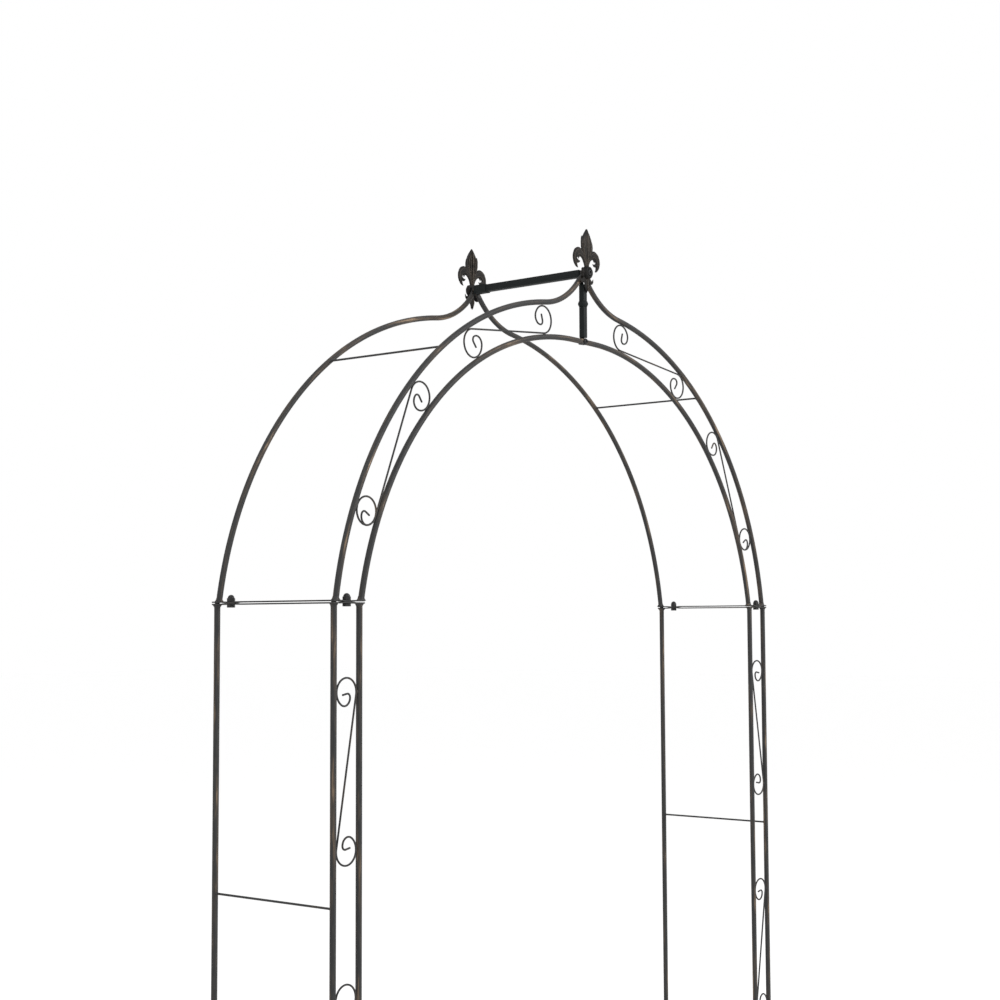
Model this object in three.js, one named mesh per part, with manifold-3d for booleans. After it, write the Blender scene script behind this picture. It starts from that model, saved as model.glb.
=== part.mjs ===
// A garden trellis arch of round steel bar. Each side stands on a back post, an outer front post
// and an inner front post. Above the mid joints the front has an ogee outer hoop with a round
// hoop inside it, and the back has an ogee hoop alone. Scrolls of thin wire fill the space
// between the two front rails, crossbars tie front to back, and a ridge bar joins the two
// apexes, each of which carries a cast finial.
// Millimetres, +Z up, the front faces -Y, and the origin is on the ground under the middle.
import * as THREE from 'three';
import { mergeVertices } from 'three/addons/utils/BufferGeometryUtils.js';
import Module from 'manifold-3d';

const wasm = await Module();
wasm.setup();

// Driving dimensions: the whole arch
const archSpan = 1500; // centre to centre of the two outer posts
const archDepth = 282; // centre to centre of the front and back frames
const railGap = 64; // centre of an outer post to centre of its inner post
const bayHeight = 510; // crossbar to crossbar in a side panel
const bayCount = 3; // bays in a side panel
const outerRise = 683; // mid joint to the bolt where the outer hoops meet
const crownDrop = 143; // that bolt down to the one in the crown of the inner hoop

// Hoop curves
const springInset = 4.5; // a hoop starts this far inside its post's centre
const springLean = THREE.MathUtils.degToRad(9); // lean of the outer hoop where it starts
const tipRadius = 190; // hollow curve that lifts the outer hoop to its apex
const tipLean = THREE.MathUtils.degToRad(41); // lean from the vertical at the apex
const tipOffset = 14; // the round bar stops this far from the middle
const hoopSteps = 32;
const crownFlat = 35; // half the straight length at the crown of the inner hoop

// Bars, strips and wire
const tubeDiameter = 11;
const crossbarDiameter = 4;
const crossbarBearing = THREE.MathUtils.degToRad(45.7); // of the upper crossbar on the hoop
const scrollWire = 3.5;
const ridgeSide = 15;
const centreBarSide = 12;
const stripWidth = 14;
const stripThickness = 2;
const stripSpread = 2.2; // gap between a pair of joint strips away from their bolts
const pinchFlat = 9; // half length of the stretch that a bolt pinches together
const pinchRamp = 12; // length over which the strips part again

// Scrolls
const scrollHeadInset = 153; // from the top of a bay to the upper eye of its scroll
const scrollFootInset = 92; // from the bottom of a bay to the lower eye of its scroll
const lowerScrollBearings = [13.2, 35.5]; // degrees, eyes of the lower hoop scroll
const upperScrollBearings = [52.9, 76]; // degrees, eyes of the upper hoop scroll
const scrollArcs = [
  { share: 1, turn: 240, steps: 12 }, // round the eye, from where the wire first touches a rail
  { share: 0.58, turn: 120, steps: 6 }, // radius over the eye's radius, degrees turned
  { share: 0.27, turn: 100, steps: 4 },
];
const scrollStub = 0.45; // straight end of the wire over the eye's radius
const spiralSteps = 2 + scrollArcs.reduce((sum, arc) => sum + arc.steps, 0);

// Lugs, fasteners and fittings
const lugThickness = 3;
const lugRadius = 7;
const lugRoot = 0.992; // share of its hoop half at which a lug begins
const lugNeckShare = 0.9; // width of that beginning over the bar
const tongueLength = 24; // from the apex bolt to the shoulder of the centre bar
const tongueOverlap = 3; // how far a tongue runs into the bar
const crownGap = 1.5; // from the crown lugs to the foot of the centre bar
const knuckleDiameter = 21; // ring on the centre bar
const knuckleHeight = 11;
const knuckleDrop = 64; // from the apex bolt to the middle of the ring
const socketWall = 1.2;
const socketLength = 32;
const pinDiameter = 6; // apex and crown bolts
const pinHeadDiameter = 13;
const pinHeadHeight = 4;
const pinNutAcross = 10;
const pinNutHeight = 5;
const ridgeBoreDepth = 24;
const pinEndGap = 6; // left in the bore beyond the end of a finial bolt
const boltDiameter = 8; // mid joint bolts
const boltAcross = 13;
const boltHeadHeight = 5.5;
const nutHexHeight = 6.5;
const nutDomeRadius = 6;
const backBoltInset = 35; // from the back post to the bolt beside it
const clearance = 0.3;

// Finial, measured from its bolt
const finialThickness = 6;
const collarThickness = 9;
const finialTip = 92;
const finialTail = 42;
const finialHalfWidth = 49;

// Places that follow from the dimensions
const jointHeight = bayHeight * bayCount;
const halfSpan = archSpan / 2;
const apexHeight = jointHeight + outerRise;
const crownHeight = apexHeight - crownDrop;
const tubeRadius = tubeDiameter / 2;
const layerPitch = lugThickness + clearance;
const barSeat = jointHeight + stripSpread / 2 + stripThickness + clearance; // on the upper strips
const finialSeat = Math.max(tubeRadius, centreBarSide / 2) + clearance; // out from its frame
const frames = [
  { name: 'front', y: -archDepth / 2, inward: 1, lugLayers: 3 },
  { name: 'back', y: archDepth / 2, inward: -1, lugLayers: 2 },
];
const [frontFrame, backFrame] = frames;
const sides = [
  { name: 'left', sign: -1 },
  { name: 'right', sign: 1 },
];

const paintedBar = { color: 0x3b3a38, roughness: 0.5, metalness: 0.6 };
const darkBar = { color: 0x262828, roughness: 0.48, metalness: 0.6 };
const darkWire = { color: 0x302f2e, roughness: 0.55, metalness: 0.6 };
const castIron = { color: 0x342c28, roughness: 0.6, metalness: 0.5 };
const darkBolt = { color: 0x2c2c2d, roughness: 0.45, metalness: 0.7 };

const arch = new THREE.Group();

function addPiece(name, geometry, finish) {
  const piece = new THREE.Mesh(geometry, new THREE.MeshStandardMaterial(finish));
  piece.name = name;
  arch.add(piece);
  return piece;
}

function toSolid(geometry) {
  const bare = geometry.clone();
  bare.deleteAttribute('normal');
  bare.deleteAttribute('uv');
  const merged = mergeVertices(bare, 1e-4);
  const vertProperties = new Float32Array(merged.attributes.position.array);
  const triVerts = new Uint32Array(merged.index.array);
  return new wasm.Manifold(new wasm.Mesh({ numProp: 3, vertProperties, triVerts }));
}

function toGeometry(solid) {
  const mesh = solid.getMesh();
  const geometry = new THREE.BufferGeometry();
  geometry.setAttribute('position', new THREE.BufferAttribute(mesh.vertProperties, 3));
  geometry.setIndex(new THREE.BufferAttribute(mesh.triVerts, 1));
  geometry.computeVertexNormals();
  return geometry;
}

function joinAll(geometries) {
  return geometries.map(toSolid).reduce((whole, next) => whole.add(next));
}

// A bar of round section from one point to another along Z
function uprightBar(diameter, low, high, segments = 16) {
  const bar = new THREE.CylinderGeometry(diameter / 2, diameter / 2, high - low, segments);
  bar.rotateX(Math.PI / 2);
  bar.translate(0, 0, (low + high) / 2);
  return bar;
}

// A round bar along Y
function levelBar(diameter, near, far, segments = 16) {
  const bar = new THREE.CylinderGeometry(diameter / 2, diameter / 2, far - near, segments);
  bar.translate(0, (near + far) / 2, 0);
  return bar;
}

function hexBar(acrossFlats, height) {
  const radius = acrossFlats / Math.sqrt(3);
  return new THREE.CylinderGeometry(radius, radius, height, 6);
}

// A flat plate drawn in X and Z, between two places along Y
function flatPlate(shape, near, far, curveSegments = 6) {
  const plate = new THREE.ExtrudeGeometry(shape, {
    depth: far - near,
    bevelEnabled: false,
    curveSegments,
  });
  plate.rotateX(Math.PI / 2);
  plate.translate(0, far, 0);
  return plate;
}

// The stretch along Y that one layer of a lug stack takes in a frame
function layerSpan(frame, layer) {
  const outerFace = -1.5 * layerPitch + clearance / 2 + layer * layerPitch;
  const faces = [outerFace, outerFace + lugThickness].map((depth) => frame.y + frame.inward * depth);
  return [Math.min(...faces), Math.max(...faces)];
}

function sectionOf(diameter, segments) {
  const section = new THREE.Shape();
  for (let i = 0; i < segments; i += 1) {
    const turn = (2 * Math.PI * i) / segments;
    const x = (diameter / 2) * Math.cos(turn);
    const y = (diameter / 2) * Math.sin(turn);
    if (i === 0) section.moveTo(x, y);
    else section.lineTo(x, y);
  }
  section.closePath();
  return section;
}

function barAlong(route, diameter, segments, steps) {
  return new THREE.ExtrudeGeometry(sectionOf(diameter, segments), {
    steps,
    bevelEnabled: false,
    extrudePath: route,
  });
}

// A route in the XZ plane made of arcs and straights. A lean is measured from the vertical
// towards the middle, and each stretch has a length and the lean that it ends with.
class LeaningRoute extends THREE.Curve {
  constructor(start, lean, stretches, sign, y) {
    super();
    Object.assign(this, { start, lean, stretches, sign, y });
    this.whole = stretches.reduce((sum, stretch) => sum + stretch.length, 0);
  }

  getPoint(t, target = new THREE.Vector3()) {
    let left = t * this.whole;
    let [x, z] = this.start;
    let lean = this.lean;
    for (const { length, endLean } of this.stretches) {
      const run = Math.min(left, length);
      const bend = ((endLean - lean) * run) / length;
      if (Math.abs(endLean - lean) < 1e-9) {
        x -= run * Math.sin(lean);
        z += run * Math.cos(lean);
      } else {
        const radius = length / (endLean - lean);
        x -= radius * (Math.cos(lean) - Math.cos(lean + bend));
        z += radius * (Math.sin(lean + bend) - Math.sin(lean));
      }
      left -= run;
      if (left <= 0) break;
      lean = endLean;
    }
    return target.set(this.sign * x, this.y, z);
  }
}

// The outer hoop rises on one round arc, then a hollow arc lifts it to the apex
function outerRoute(sign, y) {
  const startX = halfSpan - springInset;
  const startZ = barSeat + tubeRadius * Math.sin(springLean);
  const endZ = apexHeight - tipOffset / Math.tan(tipLean);
  const across = tipRadius * Math.cos(tipLean) - (startX - tipOffset);
  const up = endZ - startZ + tipRadius * Math.sin(tipLean);
  const mainRadius = (tipRadius ** 2 - across ** 2 - up ** 2)
    / (2 * (across * Math.cos(springLean) + up * Math.sin(springLean) - tipRadius));
  const shoulderLean = Math.atan2(
    mainRadius * Math.sin(springLean) + up,
    mainRadius * Math.cos(springLean) + across,
  );
  const stretches = [
    { length: mainRadius * (shoulderLean - springLean), endLean: shoulderLean },
    { length: tipRadius * (shoulderLean - tipLean), endLean: tipLean },
  ];
  return new LeaningRoute([startX, startZ], springLean, stretches, sign, y);
}

// The inner hoop is one round arc that ends level, with a short straight at its crown
function innerRoute(sign, y) {
  const startX = halfSpan - railGap - springInset;
  const startZ = barSeat + tubeRadius * Math.sin(springLean);
  const lean = Math.PI / 2 - 2 * Math.atan((crownHeight - startZ) / (startX - crownFlat));
  const radius = (startX - crownFlat) / Math.cos(lean);
  const stretches = [
    { length: radius * (Math.PI / 2 - lean), endLean: Math.PI / 2 },
    { length: crownFlat - tipOffset, endLean: Math.PI / 2 },
  ];
  return new LeaningRoute([startX, startZ], lean, stretches, sign, y);
}

// A lug shape: a round eye about the bolt and a neck back to the end of the bar
function lugShape(boltX, boltZ, rootX, rootZ) {
  const shape = new THREE.Shape();
  const heading = Math.atan2(rootZ - boltZ, rootX - boltX);
  shape.absarc(boltX, boltZ, lugRadius, heading + Math.PI / 2, heading + 1.5 * Math.PI, false);
  const side = new THREE.Vector2(Math.cos(heading - Math.PI / 2), Math.sin(heading - Math.PI / 2));
  side.multiplyScalar(tubeRadius * lugNeckShare);
  shape.lineTo(rootX + side.x, rootZ + side.y);
  shape.lineTo(rootX - side.x, rootZ - side.y);
  shape.closePath();
  return shape;
}

function hoopHalf(route, frame, layer, boltZ) {
  const bar = barAlong(route, tubeDiameter, 12, hoopSteps);
  const root = route.getPoint(lugRoot);
  const [near, far] = layerSpan(frame, layer);
  const lug = flatPlate(lugShape(0, boltZ, root.x, root.z), near, far);
  const hole = levelBar(pinDiameter + 2 * clearance, near - 1, far + 1);
  hole.translate(0, 0, boltZ);
  return toGeometry(joinAll([bar, lug]).subtract(toSolid(hole)));
}

function addPosts() {
  const low = stripThickness + clearance;
  const high = jointHeight - stripSpread / 2 - stripThickness - clearance;
  for (const { name, sign } of sides) {
    const places = {
      outer: [sign * halfSpan, frontFrame.y],
      inner: [sign * (halfSpan - railGap), frontFrame.y],
      back: [sign * halfSpan, backFrame.y],
    };
    for (const [post, [x, y]] of Object.entries(places)) {
      const piece = addPiece(`post_${post}_${name}`, uprightBar(tubeDiameter, low, high), paintedBar);
      piece.position.set(x, y, 0);
    }
  }
}

function addHoops() {
  sides.forEach(({ name, sign }, layer) => {
    for (const frame of frames) {
      const half = hoopHalf(outerRoute(sign, frame.y), frame, layer, apexHeight);
      addPiece(`hoop_${frame.name === 'front' ? 'outer' : 'back'}_${name}`, half, paintedBar);
    }
    const inner = hoopHalf(innerRoute(sign, frontFrame.y), frontFrame, layer, crownHeight);
    addPiece(`hoop_inner_${name}`, inner, paintedBar);
  });
}

// Side view of a strip that its bolt pinches towards the middle plane of the joint
function pinchedProfile(length, boltPlace, rise) {
  const spread = rise * (stripSpread / 2);
  const pinched = rise * (clearance / 2);
  const places = [
    [0, spread],
    [boltPlace - pinchFlat - pinchRamp, spread],
    [boltPlace - pinchFlat, pinched],
    [boltPlace + pinchFlat, pinched],
    [boltPlace + pinchFlat + pinchRamp, spread],
    [length, spread],
  ];
  const profile = new THREE.Shape();
  places.forEach(([x, z], i) => (i === 0 ? profile.moveTo(x, z) : profile.lineTo(x, z)));
  for (const [x, z] of [...places].reverse()) profile.lineTo(x, z + rise * stripThickness);
  profile.closePath();
  return profile;
}

const frontBoltX = halfSpan - railGap / 2;
const sideStripLength = archDepth + stripWidth;
const frontStripLength = railGap + stripWidth;

// One of the two L-shaped strips of a mid joint: rise is 1 above the joint and -1 below it
function jointStrip(sign, rise) {
  const frontLeg = flatPlate(
    pinchedProfile(frontStripLength, frontStripLength / 2, rise),
    frontFrame.y - stripWidth / 2,
    frontFrame.y + stripWidth / 2,
  );
  frontLeg.translate(-halfSpan - stripWidth / 2, 0, jointHeight);
  const sideLeg = flatPlate(
    pinchedProfile(sideStripLength, backBoltInset + stripWidth / 2, rise),
    -stripWidth / 2,
    stripWidth / 2,
  );
  sideLeg.rotateZ(-Math.PI / 2);
  sideLeg.translate(-halfSpan, backFrame.y + stripWidth / 2, jointHeight);
  let strip = joinAll([frontLeg, sideLeg]);
  for (const [x, y] of [[-frontBoltX, frontFrame.y], [-halfSpan, backFrame.y - backBoltInset]]) {
    const reach = stripSpread + stripThickness + 1;
    const hole = uprightBar(boltDiameter + 2 * clearance, jointHeight - reach, jointHeight + reach);
    hole.translate(x, y, 0);
    strip = strip.subtract(toSolid(hole));
  }
  return toGeometry(sign < 0 ? strip : strip.mirror([1, 0, 0]));
}

// The strip that the three posts of one side stand on
function footStrip(sign) {
  const frontLeg = new THREE.BoxGeometry(frontStripLength, stripWidth, stripThickness);
  const frontX = -halfSpan - stripWidth / 2 + frontStripLength / 2;
  frontLeg.translate(frontX, frontFrame.y, stripThickness / 2);
  const sideLeg = new THREE.BoxGeometry(stripWidth, sideStripLength, stripThickness);
  sideLeg.translate(-halfSpan, 0, stripThickness / 2);
  const strip = joinAll([frontLeg, sideLeg]);
  return toGeometry(sign < 0 ? strip : strip.mirror([1, 0, 0]));
}

function addStrips() {
  for (const { name, sign } of sides) {
    addPiece(`joint_strip_upper_${name}`, jointStrip(sign, 1), paintedBar);
    addPiece(`joint_strip_lower_${name}`, jointStrip(sign, -1), paintedBar);
    addPiece(`foot_strip_${name}`, footStrip(sign), paintedBar);
  }
}

// The point of a route that lies on a bearing seen from the mid joint level at mid span
function pointOnBearing(route, bearing) {
  let low = 0;
  let high = 1;
  for (let i = 0; i < 40; i += 1) {
    const middle = (low + high) / 2;
    const point = route.getPoint(middle);
    if (Math.atan2(point.z - jointHeight, Math.abs(point.x)) < bearing) low = middle;
    else high = middle;
  }
  return route.getPoint(low);
}

// How far the nearest place on a route is, and in which direction it lies
function nearestOn(route, x, z) {
  let nearest = { distance: Infinity };
  for (let i = 0; i <= 600; i += 1) {
    const point = route.getPoint(i / 600);
    const distance = Math.hypot(point.x - x, point.z - z);
    const direction = Math.atan2(point.z - z, point.x - x);
    if (distance < nearest.distance) nearest = { distance, direction };
  }
  return nearest;
}

// The eye that fits between the two front hoops on a bearing
function eyeOnBearing(sign, degrees) {
  const bearing = THREE.MathUtils.degToRad(degrees);
  const routes = [outerRoute(sign, frontFrame.y), innerRoute(sign, frontFrame.y)];
  const [outer, inner] = routes.map((route) => pointOnBearing(route, bearing));
  let low = 0;
  let high = 1;
  const at = (share) => [inner.x + (outer.x - inner.x) * share, inner.z + (outer.z - inner.z) * share];
  for (let i = 0; i < 24; i += 1) {
    const middle = (low + high) / 2;
    const [x, z] = at(middle);
    const [toOuter, toInner] = routes.map((route) => nearestOn(route, x, z).distance);
    if (toInner < toOuter) low = middle;
    else high = middle;
  }
  const [x, z] = at(low);
  const rails = routes.map((route) => nearestOn(route, x, z));
  const reach = Math.min(...rails.map((rail) => rail.distance));
  const radius = reach - tubeRadius - scrollWire / 2 - clearance;
  return { x, z, radius, rails: rails.map((rail) => rail.direction) };
}

// A wire that winds out of one eye, crosses straight to the other side and winds into the next
class ScrollRoute extends THREE.Curve {
  constructor(lower, upper, hand, y) {
    super();
    const apart = Math.hypot(upper.x - lower.x, upper.z - lower.z);
    const heading = Math.atan2(upper.z - lower.z, upper.x - lower.x);
    const crossing = Math.asin((lower.radius + upper.radius) / apart);
    this.contact = heading + hand * (Math.PI / 2 - crossing);
    Object.assign(this, { lower, upper, hand, y, steps: 2 * spiralSteps + 1 });
  }

  // The first step ends where the wire touches a rail, and from there it winds round, closes in
  // arc by arc and ends in a straight stub
  onSpiral(eye, startAngle, step) {
    const turning = eye.rails.map((rail) => this.hand * (rail - startAngle));
    const held = Math.min(...turning.map((turn) => THREE.MathUtils.euclideanModulo(turn, 2 * Math.PI)));
    let angle = startAngle + this.hand * held * Math.min(step, 1);
    let left = Math.max(0, step - 1);
    let { x, z, radius } = eye;
    for (const arc of scrollArcs) {
      x += (radius - eye.radius * arc.share) * Math.cos(angle);
      z += (radius - eye.radius * arc.share) * Math.sin(angle);
      radius = eye.radius * arc.share;
      const passed = Math.min(left, arc.steps);
      angle += this.hand * THREE.MathUtils.degToRad(arc.turn) * passed / arc.steps;
      left -= passed;
      if (left <= 0) break;
    }
    const along = angle + this.hand * Math.PI / 2;
    const stub = eye.radius * scrollStub * left;
    return [x + radius * Math.cos(angle) + stub * Math.cos(along),
      z + radius * Math.sin(angle) + stub * Math.sin(along)];
  }

  getPoint(t, target = new THREE.Vector3()) {
    const step = t * this.steps;
    let x;
    let z;
    if (step <= spiralSteps) {
      [x, z] = this.onSpiral(this.lower, this.contact, spiralSteps - step);
    } else if (step >= spiralSteps + 1) {
      [x, z] = this.onSpiral(this.upper, this.contact + Math.PI, step - spiralSteps - 1);
    } else {
      const from = this.onSpiral(this.lower, this.contact, 0);
      const to = this.onSpiral(this.upper, this.contact + Math.PI, 0);
      x = from[0] + (to[0] - from[0]) * (step - spiralSteps);
      z = from[1] + (to[1] - from[1]) * (step - spiralSteps);
    }
    return target.set(x, this.y, z);
  }

  // Steps follow the winding, not the length, so the straight takes a single step
  getUtoTmapping(u) {
    return u;
  }
}

function scroll(lower, upper, hand) {
  const route = new ScrollRoute(lower, upper, hand, frontFrame.y);
  return barAlong(route, scrollWire, 8, route.steps);
}

// Neighbouring scrolls lean opposite ways, so that their near ends touch the same rail
function addScrolls() {
  for (const { name, sign } of sides) {
    const eye = {
      x: sign * (halfSpan - railGap / 2),
      radius: railGap / 2 - tubeRadius - scrollWire / 2 - clearance,
      rails: [0, Math.PI],
    };
    for (let bay = 1; bay <= bayCount; bay += 1) {
      const top = jointHeight - (bay - 1) * bayHeight;
      const upper = { ...eye, z: top - scrollHeadInset };
      const lower = { ...eye, z: top - bayHeight + scrollFootInset };
      const hand = bay % 2 === 1 ? -sign : sign;
      addPiece(`scroll_panel_${bay}_${name}`, scroll(lower, upper, hand), darkWire);
    }
    const hoopScrolls = { low: [lowerScrollBearings, sign], high: [upperScrollBearings, -sign] };
    for (const [place, [bearings, hand]] of Object.entries(hoopScrolls)) {
      const [lower, upper] = bearings.map((bearing) => eyeOnBearing(sign, bearing));
      addPiece(`scroll_hoop_${place}_${name}`, scroll(lower, upper, hand), darkWire);
    }
  }
}

function addCrossbars() {
  const near = frontFrame.y + tubeRadius + clearance;
  const far = backFrame.y - tubeRadius - clearance;
  for (const { name, sign } of sides) {
    for (let bay = 1; bay < bayCount; bay += 1) {
      const bar = levelBar(crossbarDiameter, near, far, 12);
      const piece = addPiece(`crossbar_panel_${bay}_${name}`, bar, darkWire);
      piece.position.set(sign * halfSpan, 0, jointHeight - bay * bayHeight);
    }
    const place = pointOnBearing(outerRoute(sign, 0), crossbarBearing);
    const piece = addPiece(`crossbar_hoop_${name}`, levelBar(crossbarDiameter, near, far, 12), darkWire);
    piece.position.set(place.x, 0, place.z);
  }
}

// The faces where the ridge bar meets the innermost lug of each apex
const ridgeEnds = frames.map((frame) => {
  const span = layerSpan(frame, frame.lugLayers - 1);
  return frame.inward > 0 ? span[1] + clearance : span[0] - clearance;
});

function addRidge() {
  const [near, far] = ridgeEnds;
  const bar = new THREE.BoxGeometry(ridgeSide, far - near, ridgeSide);
  bar.translate(0, (near + far) / 2, 0);
  let solid = toSolid(bar);
  for (const [from, to] of [[near - 1, near + ridgeBoreDepth], [far - ridgeBoreDepth, far + 1]]) {
    solid = solid.subtract(toSolid(levelBar(pinDiameter + 2 * clearance, from, to)));
  }
  addPiece('ridge_bar', toGeometry(solid), darkBar).position.set(0, 0, apexHeight);

  const outside = ridgeSide + 2 * (clearance + socketWall);
  const inside = ridgeSide + 2 * clearance;
  const socket = new THREE.BoxGeometry(outside, socketLength, outside);
  const hollow = new THREE.BoxGeometry(inside, socketLength + 2, inside);
  const ring = toSolid(socket).subtract(toSolid(hollow));
  addPiece('ridge_socket', toGeometry(ring), darkBar)
    .position.set(0, far - socketLength / 2, apexHeight);
}

// The upright bar between the inner crown and the apex, with a flat tongue at each end
function addCentreBar() {
  const top = apexHeight - tongueLength;
  const bottom = crownHeight + lugRadius + crownGap;
  const shaft = new THREE.BoxGeometry(centreBarSide, centreBarSide, top - bottom);
  shaft.translate(0, frontFrame.y, (top + bottom) / 2);
  const [near, far] = layerSpan(frontFrame, 2);
  let solid = toSolid(shaft);
  const ends = [[apexHeight, top - tongueOverlap], [crownHeight, bottom + tongueOverlap]];
  for (const [boltZ, rootZ] of ends) {
    const tongue = new THREE.Shape();
    const half = centreBarSide / 2;
    const outward = Math.sign(boltZ - rootZ);
    tongue.absarc(0, boltZ, half, outward > 0 ? 0 : Math.PI, outward > 0 ? Math.PI : 2 * Math.PI, false);
    tongue.lineTo(-outward * half, rootZ);
    tongue.lineTo(outward * half, rootZ);
    tongue.closePath();
    solid = solid.add(toSolid(flatPlate(tongue, near, far)));
    const hole = levelBar(pinDiameter + 2 * clearance, near - 1, far + 1);
    hole.translate(0, 0, boltZ);
    solid = solid.subtract(toSolid(hole));
  }
  addPiece('centre_bar', toGeometry(solid), darkBar);

  const bulge = knuckleDiameter / 2;
  const waist = bulge - 1;
  const ring = new THREE.LatheGeometry([
    new THREE.Vector2(0, -knuckleHeight / 2),
    new THREE.Vector2(waist, -knuckleHeight / 2),
    new THREE.Vector2(bulge, -knuckleHeight / 4),
    new THREE.Vector2(bulge, knuckleHeight / 4),
    new THREE.Vector2(waist, knuckleHeight / 2),
    new THREE.Vector2(0, knuckleHeight / 2),
  ], 20);
  ring.rotateX(Math.PI / 2);
  const inside = centreBarSide + 2 * clearance;
  const hollow = new THREE.BoxGeometry(inside, inside, knuckleHeight + 2);
  addPiece('centre_bar_ring', toGeometry(toSolid(ring).subtract(toSolid(hollow))), darkBar)
    .position.set(0, frontFrame.y, apexHeight - knuckleDrop);
}

// Finial outlines, drawn from the bolt, with x to one side
function centrePetal() {
  const shape = new THREE.Shape();
  shape.moveTo(0, finialTip);
  shape.bezierCurveTo(9, finialTip - 10, 20, finialTip - 22, 19, finialTip - 34);
  shape.bezierCurveTo(18, finialTip - 48, 9, finialTip - 60, 7, 8);
  shape.lineTo(-7, 8);
  shape.bezierCurveTo(-9, finialTip - 60, -18, finialTip - 48, -19, finialTip - 34);
  shape.bezierCurveTo(-20, finialTip - 22, -9, finialTip - 10, 0, finialTip);
  return shape;
}

function sidePetal(side) {
  const edge = finialHalfWidth;
  const shape = new THREE.Shape();
  shape.moveTo(side * 3, 10);
  shape.bezierCurveTo(side * 9, 14, side * 12, 29, side * (edge - 24), 30);
  shape.quadraticCurveTo(side * (edge - 18), 29, side * (edge - 19), 24);
  shape.lineTo(side * (edge - 29), 21);
  shape.lineTo(side * (edge - 22), 17);
  shape.lineTo(side * (edge - 23), 9);
  shape.bezierCurveTo(side * (edge - 8), 14, side * edge, 22, side * edge, 32);
  shape.bezierCurveTo(side * edge, 46, side * (edge - 16), 54, side * 24, 47);
  shape.bezierCurveTo(side * 12, 42, side * 4, 26, side * 3, 10);
  return shape;
}

function collarBand() {
  const shape = new THREE.Shape();
  const reach = 10;
  const radius = 8;
  shape.absarc(reach, 0, radius, -Math.PI / 2, Math.PI / 2, false);
  shape.absarc(-reach, 0, radius, Math.PI / 2, 1.5 * Math.PI, false);
  shape.closePath();
  return shape;
}

function tailLeaf() {
  const shape = new THREE.Shape();
  shape.moveTo(0, -finialTail);
  shape.bezierCurveTo(9, 10 - finialTail, 9, 22 - finialTail, 4, -6);
  shape.lineTo(-4, -6);
  shape.bezierCurveTo(-9, 22 - finialTail, -9, 10 - finialTail, 0, -finialTail);
  return shape;
}

function sideTail(side) {
  const shape = new THREE.Shape();
  shape.moveTo(side * 3, -6);
  shape.lineTo(side * 12, -6);
  shape.bezierCurveTo(side * 13, -13, side * 18, -15, side * 22, -14);
  shape.bezierCurveTo(side * 22, -20, side * 18, -25, side * 13, -22);
  shape.bezierCurveTo(side * 8, -19, side * 4, -14, side * 3, -6);
  return shape;
}

// Near face and far face of a finial layer, measured outwards from the frame
function finialSpan(frame, thickness) {
  const faces = [finialSeat, finialSeat + thickness]
    .map((depth) => frame.y - frame.inward * depth);
  return [Math.min(...faces), Math.max(...faces)];
}

function addFinials() {
  for (const frame of frames) {
    const [near, far] = finialSpan(frame, finialThickness);
    const leaves = [centrePetal(), sidePetal(1), sidePetal(-1), tailLeaf(), sideTail(1), sideTail(-1)];
    const flats = leaves.map((shape) => flatPlate(shape, near, far));
        const [start, end] = finialSpan(frame, collarThickness);
    const hole = levelBar(pinDiameter + 2 * clearance, start - 1, end + 1);
    const band = flatPlate(collarBand(), start, end);
    const casting = joinAll([...flats, band]).subtract(toSolid(hole));
    addPiece(`finial_${frame.name}`, toGeometry(casting), castIron).position.set(0, 0, apexHeight);
  }
}

// A pan head bolt along Y whose head bears on a face and whose shank runs inwards from it
function pinBolt(face, inward, shankLength) {
  const headRadius = pinHeadDiameter / 2;
  const profile = [
    new THREE.Vector2(0, shankLength),
    new THREE.Vector2(pinDiameter / 2, shankLength),
    new THREE.Vector2(pinDiameter / 2, 0),
    new THREE.Vector2(headRadius, 0),
    new THREE.Vector2(headRadius * 0.92, -pinHeadHeight * 0.6),
    new THREE.Vector2(headRadius * 0.6, -pinHeadHeight),
    new THREE.Vector2(0, -pinHeadHeight),
  ].reverse();
  const bolt = new THREE.LatheGeometry(profile, 16);
  if (inward < 0) bolt.rotateX(Math.PI);
  bolt.translate(0, face, 0);
  return bolt;
}

function addPins() {
  for (const [i, frame] of frames.entries()) {
    const face = frame.y - frame.inward * (finialSeat + collarThickness + clearance);
    const reach = Math.abs(ridgeEnds[i] - face) + ridgeBoreDepth - pinEndGap;
    addPiece(`finial_bolt_${frame.name}`, pinBolt(face, frame.inward, reach), darkBolt)
      .position.set(0, 0, apexHeight);
  }
  const face = layerSpan(frontFrame, 0)[0] - clearance;
  const nutFace = layerSpan(frontFrame, 2)[1] + clearance;
  const reach = nutFace - face + pinNutHeight + 1;
  addPiece('crown_bolt', pinBolt(face, 1, reach), darkBolt).position.set(0, 0, crownHeight);
  const hex = hexBar(pinNutAcross, pinNutHeight);
  const bore = levelBar(pinDiameter + 2 * clearance, -pinNutHeight, pinNutHeight);
  addPiece('crown_nut', toGeometry(toSolid(hex).subtract(toSolid(bore))), darkBolt)
    .position.set(0, nutFace + pinNutHeight / 2, crownHeight);
}

// Mid joint bolt: its hexagon head is under the strips, its shank ends inside the dome nut
function jointBolt() {
  const reach = clearance / 2 + stripThickness + clearance;
  const head = hexBar(boltAcross, boltHeadHeight);
  head.rotateX(Math.PI / 2);
  head.translate(0, 0, -reach - boltHeadHeight / 2);
  const shank = uprightBar(boltDiameter, -reach - 1, reach + nutHexHeight);
  return toGeometry(joinAll([head, shank]));
}

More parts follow.
